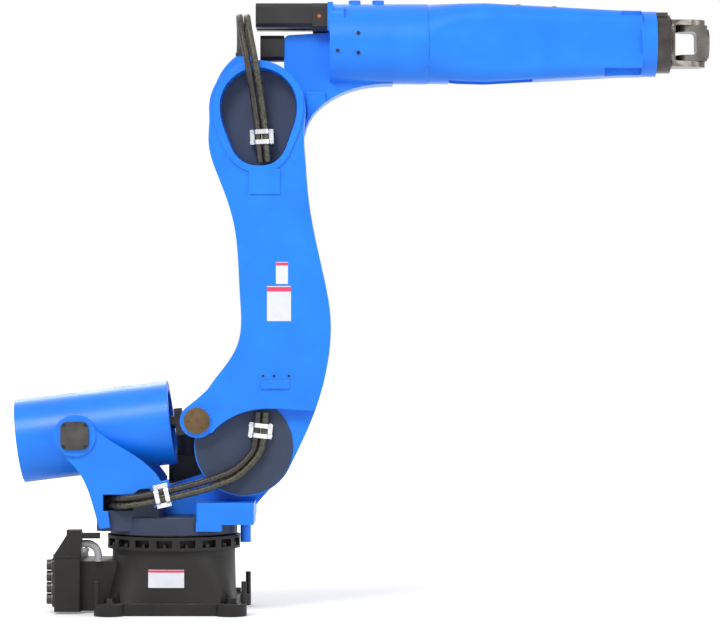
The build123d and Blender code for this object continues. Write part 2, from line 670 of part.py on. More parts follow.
def forearm_casting():
    sections = []
    for x, height, width, corner in FOREARM_STATIONS:
        plane = Plane(origin=(x, 0, FOREARM_Z), x_dir=(0, 1, 0), z_dir=(1, 0, 0))
        sections.append(plane * fillet(Rectangle(width, height).vertices(), corner))
    body = loft(sections, ruled=True)
    end_x = FOREARM_STATIONS[-1][0]
    body += disc_x(FOREARM_Z, FOREARM_END_RADIUS, end_x, FOREARM_FRONT)
    belly = block((878, 1146), (-64, 64), (FOREARM_Z - 140, FOREARM_Z - 96))
    body -= belly
    for side in (-1, 1):
        low, high = sorted((side * 52, side * 140))
        body -= block((1426, 1489), (low, high), (FOREARM_Z + 86, FOREARM_Z + 130))
        body -= block((1372, 1489), (low, high), (FOREARM_Z - 130, FOREARM_Z - 82))
    return body


def neck_ring():
    ring = disc_x(FOREARM_Z, NECK_RADIUS, FOREARM_FRONT, NECK_FRONT)
    plate = block((FOREARM_FRONT, 1577), (-34, 34), (FOREARM_Z + 70, FOREARM_Z + 99))
    return ring + plate


def square_bar(plane, length):
    """The square bar that the wrist is made from, with rounded corners."""
    square = fillet(Rectangle(2 * FORK_HALF, 2 * FORK_HALF).vertices(), 22)
    return extrude(plane * square, amount=length)


def wrist_fork():
    """A root that tapers from the round neck, with one cheek above and one below the core."""
    neck = Plane(origin=(NECK_FRONT, 0, FOREARM_Z), x_dir=(0, 1, 0), z_dir=(1, 0, 0))
    rear = ROOT_FACE - 5
    face = neck.offset(rear - NECK_FRONT)
    square = fillet(Rectangle(2 * FORK_HALF, 2 * FORK_HALF).vertices(), 22)
    root = loft([neck * Circle(NECK_RADIUS - 3), face * square])
    plan = Polygon((rear, -FORK_HALF), (ROOT_FACE, -FORK_HALF), (WRIST_X, -CHEEK_RADIUS), (WRIST_X, CHEEK_RADIUS),
                   (ROOT_FACE, FORK_HALF), (rear, FORK_HALF), align=None)
    plan += Pos(WRIST_X, 0) * Circle(CHEEK_RADIUS)
    cheeks = Pos(0, 0, FOREARM_Z - FORK_HALF) * extrude(plan, amount=2 * FORK_HALF)
    cheeks &= square_bar(face, FLANGE_FACE - ROOT_FACE)
    inner = FORK_HALF - CHEEK_THICK
    slot = block((ROOT_FACE, WRIST_X + 2 * CHEEK_RADIUS), (-FORK_HALF, FORK_HALF), (FOREARM_Z - inner, FOREARM_Z + inner))
    return root + (cheeks - slot)


def wrist_core():
    """A yoke between the cheeks: two round ears on the bend axis and the plate that carries the flange."""
    inner = FORK_HALF - CHEEK_THICK - SEAT_GAP
    front = FLANGE_FACE - FLANGE_THICK - SEAT_GAP
    plan = Pos((WRIST_X + front) / 2, 0) * Rectangle(front - WRIST_X, 2 * CORE_RADIUS)
    plan += Pos(WRIST_X, 0) * Circle(CORE_RADIUS)
    body = Pos(0, 0, FOREARM_Z - inner) * extrude(plan, amount=2 * inner)
    rear = WRIST_X - 2 * CORE_RADIUS
    window = Pos((rear + CORE_PLATE_REAR) / 2, FOREARM_Z) * Rectangle(CORE_PLATE_REAR - rear, WINDOW_HEIGHT)
    window = fillet(window.vertices(), CORE_CORNER)
    return body - side_extrude(window, -2 * CORE_RADIUS, 2 * CORE_RADIUS)


def tool_flange():
    rear = FLANGE_FACE - FLANGE_THICK
    body = disc_x(FOREARM_Z, FLANGE_RADIUS, rear, FLANGE_FACE)
    body -= disc_x(FOREARM_Z, TOOL_BORE_RADIUS, rear, FLANGE_FACE)
    for i in range(TOOL_HOLES):
        angle = math.radians(360 / TOOL_HOLES * i)
        y = TOOL_PCD / 2 * math.cos(angle)
        z = FOREARM_Z + TOOL_PCD / 2 * math.sin(angle)
        body -= disc_x(z, TOOL_HOLE_RADIUS, rear, FLANGE_FACE, y)
    return body


save("base_casting", base_casting())
save("slewing_ring", slewing_ring())
save("connector_box", connector_box())
save("connector_box_lid", box_lid())
save("rear_connector_panel", rear_panel())
save("terminal_block", terminal_block())
save("cable_conduit", cable_conduit())

save("turntable", turntable())
save("carousel_casting", carousel_casting())
save("shoulder_reducer", disc_y(SHOULDER, REDUCER_RADIUS, ARM_FAR + SEAT_GAP, HOUSING_NEAR))
near_face = BRACKET_NEAR - BRACKET_THICK
far_face = BRACKET_FAR + BRACKET_THICK
save("balancer_bracket_near", bracket(near_face, BRACKET_NEAR, near_face - 8, BRACKET_NEAR, tongue=True))
save("balancer_bracket_far", bracket(BRACKET_FAR, far_face, BRACKET_FAR, far_face + 8))
save("trunnion_cap_near", trunnion_cap(near_face - 18, near_face - 8))
save("trunnion_cap_far", trunnion_cap(far_face + 8, far_face + 18))
save("shoulder_motor", side_motor(SHOULDER, HOUSING_FAR, 130, 220))
save("slew_motor", slew_motor())
stop_pin = extrude(Circle(STOP_PIN_RADIUS), amount=STOP_PIN_LENGTH)
save("stop_pin", Pos(STOP_PIN_X, STOP_PIN_Y, NOSE_BOTTOM - STOP_PIN_LENGTH) * stop_pin)
save("carousel_clamp", clamp(CAROUSEL_ROUTE, 3, near_face))

save("balancer_barrel", balancer_barrel())
save("balancer_rod", rod())

save("lower_arm_casting", lower_arm_casting())
save("balancer_pin", balancer_pin())
save("shoulder_cover_plate", shoulder_cover_plate())
save("elbow_cover_plate", elbow_cover_plate())
cover_gap = COVER_THICK + SEAT_GAP
save("shoulder_clamp", clamp(SHOULDER_ROUTE, 1, ARM_RECESS_FLOOR - cover_gap))
save("elbow_clamp", clamp(ARM_ROUTE, 1, EGG_FLOOR - cover_gap))

save("elbow_casting", elbow_casting())
save("elbow_motor", side_motor(ELBOW, HUB_FAR, SIDE_MOTOR_SIDE, SIDE_MOTOR_LENGTH))
save("wrist_bend_motor", wrist_motor(-MOTOR_SPREAD))
save("tool_roll_motor", wrist_motor(MOTOR_SPREAD))
roll_rear = WEB_REAR - ROLL_MOTOR_LENGTH
save("forearm_roll_motor", square_motor_x(4, ROLL_MOTOR_Z, roll_rear, WEB_REAR, ROLL_MOTOR_SIDE))
save("elbow_connectors", elbow_connectors())

for number, side in ((1, 1), (2, -1)):
    save(f"carousel_hose_{number}", hose(CAROUSEL_ROUTE, side))
    save(f"shoulder_hose_{number}", hose(SHOULDER_ROUTE, side))
    save(f"arm_hose_{number}", hose(ARM_ROUTE, side))
    save(f"elbow_hose_{number}", hose(ELBOW_ROUTE, side, across=-1))

save("forearm_casting", forearm_casting())
save("neck_ring", neck_ring())
save("wrist_fork", wrist_fork())
save("wrist_core", wrist_core())
save("tool_flange", tool_flange())
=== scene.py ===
import json
import math

import bpy
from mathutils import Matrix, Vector
from mathutils.bvhtree import BVHTree


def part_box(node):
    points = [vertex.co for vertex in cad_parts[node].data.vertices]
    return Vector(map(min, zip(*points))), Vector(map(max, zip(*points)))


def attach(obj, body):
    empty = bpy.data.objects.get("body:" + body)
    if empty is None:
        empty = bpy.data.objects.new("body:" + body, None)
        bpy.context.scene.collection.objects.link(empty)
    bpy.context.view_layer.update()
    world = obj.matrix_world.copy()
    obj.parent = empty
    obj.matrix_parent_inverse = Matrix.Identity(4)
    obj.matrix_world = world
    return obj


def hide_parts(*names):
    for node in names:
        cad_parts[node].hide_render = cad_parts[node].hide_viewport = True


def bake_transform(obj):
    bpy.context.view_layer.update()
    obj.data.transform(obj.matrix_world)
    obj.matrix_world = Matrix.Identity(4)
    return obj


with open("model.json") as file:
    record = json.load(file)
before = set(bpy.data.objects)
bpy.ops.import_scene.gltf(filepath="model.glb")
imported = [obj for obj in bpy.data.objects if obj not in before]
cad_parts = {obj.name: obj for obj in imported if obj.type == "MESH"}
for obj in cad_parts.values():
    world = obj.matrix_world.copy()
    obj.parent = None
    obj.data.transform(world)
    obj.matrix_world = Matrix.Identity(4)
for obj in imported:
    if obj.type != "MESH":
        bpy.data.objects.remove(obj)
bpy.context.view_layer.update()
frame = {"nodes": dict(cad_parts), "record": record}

# Places and sizes shared by several pieces, in metres in the machine's own frame
SHOULDER = Vector((0.230, 0, 0.530))
ELBOW = Vector((0.270, 0, 1.590))
TRUNNION = Vector((-0.300, 0, 0.565))
BALANCER_PIN = Vector((0.083, 0, 0.612))
NEAR = Vector((0, -1, 0))
FAR = Vector((0, 1, 0))
UP = Vector((0, 0, 1))
AHEAD = Vector((1, 0, 0))

# The hose pairs, as the line between the two hoses
HOSE_RADIUS = 0.011
HOSE_SPREAD = 0.012
RIDGE_HEIGHT = 0.0007
RIDGE_PITCH = 0.006
RIDGE_STEPS = 5
HOSE_SIDES = 14
CURVE_STEPS = 24
# Hose length that one unit of its map covers
RUN_MAP_LENGTH = 0.05
CAROUSEL_ROUTE = (
    (-0.200, -0.120, 0.354), (-0.176, -0.172, 0.354), (-0.130, -0.205, 0.358), (-0.075, -0.205, 0.366),
    (0.025, -0.205, 0.388), (0.095, -0.200, 0.405), (0.155, -0.182, 0.424), (0.210, -0.165, 0.446),
)
SHOULDER_ROUTE = (
    (0.268, -0.165, 0.505), (0.278, -0.165, 0.545), (0.286, -0.165, 0.615), (0.286, -0.165, 0.638),
)
ARM_ROUTE = (
    (0.293, -0.165, 1.424), (0.288, -0.165, 1.468), (0.284, -0.165, 1.542), (0.280, -0.165, 1.568),
)
ELBOW_ROUTE = (
    (0.273, -0.168, 1.622), (0.268, -0.187, 1.658), (0.261, -0.214, 1.700), (0.250, -0.218, 1.765),
    (0.238, -0.210, 1.822), (0.229, -0.166, 1.873), (0.226, -0.116, 1.889), (0.225, -0.078, 1.880),
    (0.225, -0.048, 1.857), (0.225, -0.032, 1.826), (0.225, -0.032, 1.792),
)
# Ends of the stretch where a hose passes from one body to the next
SHOULDER_BEND = ((0.200, -0.165, 0.440), (0.272, -0.165, 0.520))
ELBOW_BEND = ((0.280, -0.165, 1.560), (0.272, -0.168, 1.630))

# Screw heads, as radius and height
SLEWING_BOLT = (0.0075, 0.009)
ANCHOR_BOLT = (0.0175, 0.014)
PANEL_SCREW = (0.0038, 0.003)
LID_SCREW = (0.004, 0.003)
CLAMP_BOLT = (0.0048, 0.004)
CAP_SCREW = (0.0055, 0.004)
PIN_SCREW = (0.0045, 0.004)
SEAM_BOLT = (0.006, 0.005)
ARM_DOT = (0.004, 0.003)
FOREARM_PLUG = (0.009, 0.005)
MOTOR_SCREW = (0.006, 0.006)
# Their shares of the head's radius and height
WASHER_WIDTH = 1.3
WASHER_HEIGHT = 0.22
SOCKET_WIDTH = 0.55
SOCKET_FLOOR = 0.45
ROUND_SIDES = 20
WASHER_SIDES = 24

# Where the screws stand
POCKET_RING = 0.200
POCKET_FLOOR = 0.212
POCKET_COUNT = 18
FIRST_POCKET = 5
ANCHOR_HALF = 0.190
FOOT_TOP = 0.038
SIDE_INSET = 0.009
PANEL_END_INSET = 0.012
LID_NEAR_INSET = 0.07
CLAMP_SLOPE = math.radians(12.4)
CLAMP_BOLT_ALONG = 0.0165
CLAMP_BOLT_ACROSS = 0.031
CAP_FACE = 0.16
CAP_SCREW_HALF = 0.034
PIN_FACE = 0.19
PIN_RING = 0.028
PIN_SCREWS = 6
SEAM_FACE = -0.1
SEAM_BOLTS = ((0.5247, 1.780), (0.590, 1.8356), (0.590, 1.773))
ARM_FACE = -0.185
ARM_DOT_HEIGHT = 0.7525
ARM_DOTS = (0.2905, 0.3251, 0.3722)
FOREARM_TOP = 1.93
FOREARM_PLUGS = (1.1008, 1.216)
MOTOR_END = 0.3
SHOULDER_MOTOR_HALF = 0.056
ELBOW_MOTOR_HALF = 0.051
SLEW_MOTOR_PLACE = Vector((0.037, 0.188, 0.52))
SLEW_MOTOR_HALF = 0.054

# Fittings, turned from outlines of distance along the axis and radius
PANEL_X = -0.376
CONNECTOR_ROWS = (-0.104, 0.104)
CONNECTOR_HEIGHTS = (0.154, 0.118, 0.082, 0.046)
COLLAR_OUTLINE = ((0, 0.0165), (0, 0.0205), (0.004, 0.0205), (0.005, 0.0195), (0.005, 0.0165))
NUT_PLACES = ((1, 0.213), (2, 0.237))
NUT_Y = -0.032
NUT_FOOT = 1.789
NUT_OUTLINE = ((0, 0.0105), (0, 0.0118), (0.016, 0.0118), (0.018, 0.0112), (0.018, 0.0105))
MOTOR_SPREAD = 0.050
MOTOR_FLANGE_HALF = 0.043
MARK_X = 0.466
MARK_HEIGHT = 1.892
MARK_OUTLINE = ((0, 0.006), (0.0006, 0.006))
SMOOTH_ANGLE = math.radians(35)

# Films: name, node, body, range in x, range in z, slot
LABELS = (
    ("arm_label_small", "lower_arm_casting", "lower_arm", (0.331, 0.369), (1.0415, 1.1106), "blue_paint"),
    ("arm_label_large", "lower_arm_casting", "lower_arm", (0.303, 0.3785), (0.925, 1.035), "blue_paint"),
    ("base_label", "base_casting", "root", (-0.0696, 0.0433), (0.088, 0.1444), "black_paint"),
)
FILM_LIFT = 0.0001
FILM_RAY_START = -2

CAMERA_PLACE = (0.5952, -10.0, 0.9488)
CAMERA_LENS = 156.25
SENSOR_WIDTH = 36.0
FLOOR_HALF = 30.0
# The floor glows more with distance, so that it ends in white
FLOOR_GLOW = (0.26, 1.0)
FLOOR_GLOW_REACH = (1.2, 5.0)


# Small helpers for shader and geometry trees

def add_node(tree, kind, **settings):
    node = tree.nodes.new(kind)
    for key, value in settings.items():
        setattr(node, key, value)
    return node


def wire(tree, source, target):
    tree.links.new(source, target)


def arithmetic(tree, operation, first, second):
    node = add_node(tree, "ShaderNodeMath", operation=operation)
    for slot, value in zip(node.inputs, (first, second)):
        if isinstance(value, (int, float)):
            slot.default_value = value
        else:
            wire(tree, value, slot)
    return node.outputs[0]


def map_values(tree, value, low, high, out_low=0.0, out_high=1.0):
    node = add_node(tree, "ShaderNodeMapRange", clamp=True)
    wire(tree, value, node.inputs["Value"])
    node.inputs["From Min"].default_value = low
    node.inputs["From Max"].default_value = high
    node.inputs["To Min"].default_value = out_low
    node.inputs["To Max"].default_value = out_high
    return node.outputs["Result"]


def noise(tree, where, scale, detail=3.0, roughness=0.5):
    node = add_node(tree, "ShaderNodeTexNoise")
    wire(tree, where, node.inputs["Vector"])
    node.inputs["Scale"].default_value = scale
    node.inputs["Detail"].default_value = detail
    node.inputs["Roughness"].default_value = roughness
    return node.outputs["Fac"]


def mix_colours(tree, factor, first, second):
    node = add_node(tree, "ShaderNodeMix", data_type="RGBA")
    for label, value in (("Factor", factor), ("A", first), ("B", second)):
        slot = node.inputs[label]
        if hasattr(value, "is_linked"):
            wire(tree, value, slot)
        else:
            slot.default_value = value
    return node.outputs["Result"]


def new_group(name, inputs, outputs):
    tree = bpy.data.node_groups.new(name, "ShaderNodeTree")
    for label, kind, value in inputs:
        tree.interface.new_socket(label, in_out="INPUT", socket_type=kind).default_value = value
    for label, kind in outputs:
        tree.interface.new_socket(label, in_out="OUTPUT", socket_type=kind)
    return tree, tree.nodes.new("NodeGroupInput"), tree.nodes.new("NodeGroupOutput")


def use_group(tree, group, **values):
    node = add_node(tree, "ShaderNodeGroup", node_tree=group)
    for label, value in values.items():
        node.inputs[label.replace("_", " ")].default_value = value
    return node


# Shared effects

def worn_edge_group():
    """Where an edge is sharp: a mask of rubbed edges and a normal that rounds the edge."""
    tree, ins, outs = new_group(
        "worn edges",
        [("Edge width", "NodeSocketFloat", 0.003), ("Breakup", "NodeSocketFloat", 30.0)],
        [("Mask", "NodeSocketFloat"), ("Normal", "NodeSocketVector")],
    )
    bevel = add_node(tree, "ShaderNodeBevel", samples=4)
    wire(tree, ins.outputs["Edge width"], bevel.inputs["Radius"])
    face = add_node(tree, "ShaderNodeNewGeometry")
    dot = add_node(tree, "ShaderNodeVectorMath", operation="DOT_PRODUCT")
    wire(tree, bevel.outputs["Normal"], dot.inputs[0])
    wire(tree, face.outputs["Normal"], dot.inputs[1])
    edge = map_values(tree, dot.outputs["Value"], 0.995, 0.86)
    place = add_node(tree, "ShaderNodeTexCoord")
    patches = add_node(tree, "ShaderNodeTexNoise")
    wire(tree, place.outputs["Object"], patches.inputs["Vector"])
    wire(tree, ins.outputs["Breakup"], patches.inputs["Scale"])
    patches.inputs["Detail"].default_value = 6.0
    broken = map_values(tree, patches.outputs["Fac"], 0.42, 0.62)
    wire(tree, arithmetic(tree, "MULTIPLY", edge, broken), outs.inputs["Mask"])
    wire(tree, bevel.outputs["Normal"], outs.inputs["Normal"])
    return tree


def cast_skin_group():
    """The skin of a casting: broad unevenness and fine grain, as a height."""
    tree, ins, outs = new_group(
        "cast skin",
        [("Grain size", "NodeSocketFloat", 0.004), ("Waves", "NodeSocketFloat", 0.3)],
        [("Height", "NodeSocketFloat"), ("Cloud", "NodeSocketFloat")],
    )
    place = add_node(tree, "ShaderNodeTexCoord").outputs["Object"]
    scale = arithmetic(tree, "DIVIDE", 1.0, ins.outputs["Grain size"])
    grain = add_node(tree, "ShaderNodeTexNoise")
    wire(tree, place, grain.inputs["Vector"])
    wire(tree, scale, grain.inputs["Scale"])
    grain.inputs["Detail"].default_value = 3.0
    broad = noise(tree, place, 9.0, 3.0)
    waves = arithmetic(tree, "MULTIPLY", broad, ins.outputs["Waves"])
    wire(tree, arithmetic(tree, "ADD", grain.outputs["Fac"], waves), outs.inputs["Height"])
    wire(tree, broad, outs.inputs["Cloud"])
    return tree


def dust_group():
    """Fine dust that settles on what faces up."""
    tree, ins, outs = new_group(
        "settled dust",
        [("Amount", "NodeSocketFloat", 0.4)],
        [("Mask", "NodeSocketFloat")],
    )
    face = add_node(tree, "ShaderNodeNewGeometry")
    split = add_node(tree, "ShaderNodeSeparateXYZ")
    wire(tree, face.outputs["Normal"], split.inputs[0])
    up = map_values(tree, split.outputs["Z"], 0.55, 0.98)
    place = add_node(tree, "ShaderNodeTexCoord").outputs["Object"]
    patches = map_values(tree, noise(tree, place, 14.0, 6.0, 0.6), 0.35, 0.7)
    amount = arithmetic(tree, "MULTIPLY", up, ins.outputs["Amount"])
    wire(tree, arithmetic(tree, "MULTIPLY", amount, patches), outs.inputs["Mask"])
    return tree


WORN_EDGES = worn_edge_group()
CAST_SKIN = cast_skin_group()
SETTLED_DUST = dust_group()


# Materials

def start_material(name):
    material = bpy.data.materials.new(name)
    material.use_nodes = True
    tree = material.node_tree
    return material, tree, tree.nodes["Principled BSDF"]


def bump(tree, height, strength, distance, normal=None):
    node = add_node(tree, "ShaderNodeBump")
    node.inputs["Strength"].default_value = strength
    node.inputs["Distance"].default_value = distance
    wire(tree, height, node.inputs["Height"])
    if normal is not None:
        wire(tree, normal, node.inputs["Normal"])
    return node.outputs["Normal"]


def painted_casting(name, colour, shade, edge_colour, roughness, grain, depth, edge, dust,
                    coat=0.0, gloss=0.5):
    """Paint on a casting: slight clouds of shade, lighter rubbed edges, dust on top and a grained skin."""
    material, tree, shader = start_material(name)
    skin = use_group(tree, CAST_SKIN, Grain_size=grain, Waves=0.4)
    edges = use_group(tree, WORN_EDGES, Edge_width=edge, Breakup=34.0)
    settled = use_group(tree, SETTLED_DUST, Amount=dust)
    cloud = map_values(tree, skin.outputs["Cloud"], 0.3, 0.7)
    tone = mix_colours(tree, cloud, (*shade, 1), (*colour, 1))
    tone = mix_colours(tree, edges.outputs["Mask"], tone, (*edge_colour, 1))
    tone = mix_colours(tree, settled.outputs["Mask"], tone, (0.42, 0.42, 0.41, 1))
    wire(tree, tone, shader.inputs["Base Color"])
    rough = map_values(tree, skin.outputs["Cloud"], 0.3, 0.7, roughness - 0.05, roughness + 0.06)
    wire(tree, rough, shader.inputs["Roughness"])
    relief = bump(tree, skin.outputs["Height"], 0.35, depth, edges.outputs["Normal"])
    wire(tree, relief, shader.inputs["Normal"])
    shader.inputs["Specular IOR Level"].default_value = gloss
    shader.inputs["Coat Weight"].default_value = coat
    shader.inputs["Coat Roughness"].default_value = 0.2
    return material


def machined_metal(name, colour, light, roughness, metallic, scratch_scale=(4.0, 260.0, 260.0)):
    """Turned or ground metal with fine lines, stains and brighter edges."""
    material, tree, shader = start_material(name)
    place = add_node(tree, "ShaderNodeTexCoord").outputs["Object"]
    stretch = add_node(tree, "ShaderNodeMapping")
    stretch.inputs["Scale"].default_value = scratch_scale
    wire(tree, place, stretch.inputs["Vector"])
    lines = noise(tree, stretch.outputs["Vector"], 1.0, 4.0)
    stains = map_values(tree, noise(tree, place, 18.0, 5.0), 0.35, 0.68)
    edges = use_group(tree, WORN_EDGES, Edge_width=0.0015, Breakup=60.0)
    tone = mix_colours(tree, stains, (*colour, 1), (*light, 1))
    tone = mix_colours(tree, edges.outputs["Mask"], tone, (*[min(1.0, 1.8 * c) for c in light], 1))
    wire(tree, tone, shader.inputs["Base Color"])
    rough = map_values(tree, lines, 0.3, 0.7, roughness - 0.08, roughness + 0.1)
    wire(tree, rough, shader.inputs["Roughness"])
    wire(tree, bump(tree, lines, 0.2, 0.0002, edges.outputs["Normal"]), shader.inputs["Normal"])
    shader.inputs["Metallic"].default_value = metallic
    return material


def moulded_plastic(name, colour, roughness, grain=0.0012):
    material, tree, shader = start_material(name)
    skin = use_group(tree, CAST_SKIN, Grain_size=grain, Waves=0.1)
    tone = mix_colours(tree, skin.outputs["Cloud"], (*[0.8 * c for c in colour], 1), (*colour, 1))
    wire(tree, tone, shader.inputs["Base Color"])
    wire(tree, map_values(tree, skin.outputs["Height"], 0.3, 1.0, roughness - 0.05, roughness + 0.08),
         shader.inputs["Roughness"])
    wire(tree, bump(tree, skin.outputs["Height"], 0.25, 0.0002), shader.inputs["Normal"])
    return material


def hose_rubber(name, dark, rubbed_colour):
    """Ribbed hose over the cables, dusty where it is rubbed, read from the hose's own map."""
    material, tree, shader = start_material(name)
    run = add_node(tree, "ShaderNodeUVMap", uv_map="run").outputs["UV"]
    rubbed = map_values(tree, noise(tree, run, 5.0, 4.0), 0.4, 0.66)
    tone = mix_colours(tree, rubbed, (*dark, 1), (*rubbed_colour, 1))
    wire(tree, tone, shader.inputs["Base Color"])
    wire(tree, map_values(tree, rubbed, 0.0, 1.0, 0.26, 0.42), shader.inputs["Roughness"])
    wire(tree, bump(tree, noise(tree, run, 90.0, 2.0), 0.15, 0.0003), shader.inputs["Normal"])
    return material


def label_film():
    """White film with a coloured band near its top, read from the piece's own map."""
    material, tree, shader = start_material("label_film")
    grid = add_node(tree, "ShaderNodeUVMap", uv_map="label")
    split = add_node(tree, "ShaderNodeSeparateXYZ")
    wire(tree, grid.outputs["UV"], split.inputs[0])
    band = arithmetic(tree, "GREATER_THAN", split.outputs["Y"], 0.84)
    inside = arithmetic(tree, "LESS_THAN", split.outputs["Y"], 0.975)
    place = add_node(tree, "ShaderNodeTexCoord").outputs["Object"]
    stain = noise(tree, place, 60.0, 4.0)
    aged = mix_colours(tree, stain, (0.66, 0.67, 0.74, 1), (0.80, 0.81, 0.86, 1))
    tone = mix_colours(tree, arithmetic(tree, "MULTIPLY", band, inside), aged, (0.72, 0.05, 0.13, 1))
    wire(tree, tone, shader.inputs["Base Color"])
    rough = map_values(tree, noise(tree, place, 220.0, 3.0), 0.3, 0.7, 0.36, 0.5)
    wire(tree, rough, shader.inputs["Roughness"])
    return material


BLUE_PAINT = painted_casting(
    "blue_paint", (0.006, 0.225, 0.930), (0.004, 0.190, 0.850), (0.05, 0.34, 1.0), 0.42,
    grain=0.0028, depth=0.0004, edge=0.004, dust=0.04, coat=0.08, gloss=0.4,
)
# Dark blue-grey paint for the parts on the slate slot, such as the turntable deck and the recess covers. It
# is partly their own darker colour and partly painted shade for the recessed blue parts.
SLATE_PAINT_WITH_SHADE = painted_casting(
    "slate_paint", (0.040, 0.058, 0.105), (0.030, 0.042, 0.075), (0.09, 0.15, 0.28), 0.50,
    grain=0.003, depth=0.0005, edge=0.003, dust=0.10, gloss=0.3,
)
BLACK_PAINT = painted_casting(
    "black_paint", (0.020, 0.018, 0.016), (0.013, 0.012, 0.011), (0.07, 0.066, 0.062), 0.52,
    grain=0.004, depth=0.0012, edge=0.003, dust=0.22, gloss=0.3,
)
BLACK_MOTOR = painted_casting(
    "black_motor", (0.024, 0.022, 0.023), (0.016, 0.015, 0.016), (0.08, 0.075, 0.07), 0.45,
    grain=0.003, depth=0.0005, edge=0.002, dust=0.12, gloss=0.35,
)
DARK_STEEL = machined_metal("dark_steel", (0.055, 0.052, 0.050), (0.10, 0.095, 0.09), 0.42, 0.9)
BRONZE_STEEL = machined_metal("bronze_steel", (0.085, 0.055, 0.030), (0.17, 0.115, 0.06), 0.40, 0.9)
GREY_STEEL = machined_metal("grey_steel", (0.115, 0.100, 0.090), (0.20, 0.180, 0.165), 0.38, 0.92)
NECK_STEEL = machined_metal("neck_steel", (0.055, 0.048, 0.047), (0.095, 0.085, 0.083), 0.42, 0.9)
EVEN_SCRATCHES = (90.0, 90.0, 90.0)
BRIGHT_ZINC = machined_metal(
    "bright_zinc", (0.55, 0.56, 0.58), (0.80, 0.81, 0.83), 0.28, 1.0, EVEN_SCRATCHES,
)
BLACK_OXIDE = machined_metal(
    "black_oxide", (0.022, 0.022, 0.024), (0.05, 0.05, 0.052), 0.38, 0.8, EVEN_SCRATCHES,
)
BLACK_PLASTIC = moulded_plastic("black_plastic", (0.022, 0.022, 0.024), 0.42)
GREY_PLASTIC = moulded_plastic("grey_plastic", (0.40, 0.40, 0.41), 0.45)
ORANGE_PLASTIC = moulded_plastic("orange_plastic", (0.55, 0.10, 0.02), 0.4)
GREEN_PLASTIC = moulded_plastic("green_plastic", (0.010, 0.030, 0.022), 0.4)
BROWN_HOSE = hose_rubber("brown_hose", (0.014, 0.011, 0.009), (0.045, 0.034, 0.024))
OLIVE_HOSE = hose_rubber("olive_hose", (0.024, 0.024, 0.013), (0.085, 0.078, 0.045))
LABEL_FILM = label_film()

SLOT_MATERIALS = {
    "black_paint": BLACK_PAINT,
    "blue_paint": BLUE_PAINT,
    "slate_paint": SLATE_PAINT_WITH_SHADE,
    "dark_steel": DARK_STEEL,
    "bronze_steel": BRONZE_STEEL,
    "grey_steel": GREY_STEEL,
    "black_motor": BLACK_MOTOR,
    "bright_zinc": BRIGHT_ZINC,
    "grey_plastic": GREY_PLASTIC,
    "black_plastic": BLACK_PLASTIC,
    "hose_rubber": BROWN_HOSE,
}
NODE_MATERIALS = {"neck_ring": NECK_STEEL}


def dress_nodes():
    """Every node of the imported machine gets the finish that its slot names, apart from the neck ring."""
    for part in frame["record"]["subparts"]:
        node = frame["nodes"][part["node"]]
        finish = NODE_MATERIALS.get(part["node"], SLOT_MATERIALS[part["material_slot"]])
        node.data.materials.clear()
        node.data.materials.append(finish)


# Pieces that are made here

def add_piece(name, mesh, material, body):
    mesh.materials.clear()
    mesh.materials.append(material)
    piece = bpy.data.objects.new(name, mesh)
    bpy.context.scene.collection.objects.link(piece)
    if body is not None:
        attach(piece, body)
    return piece


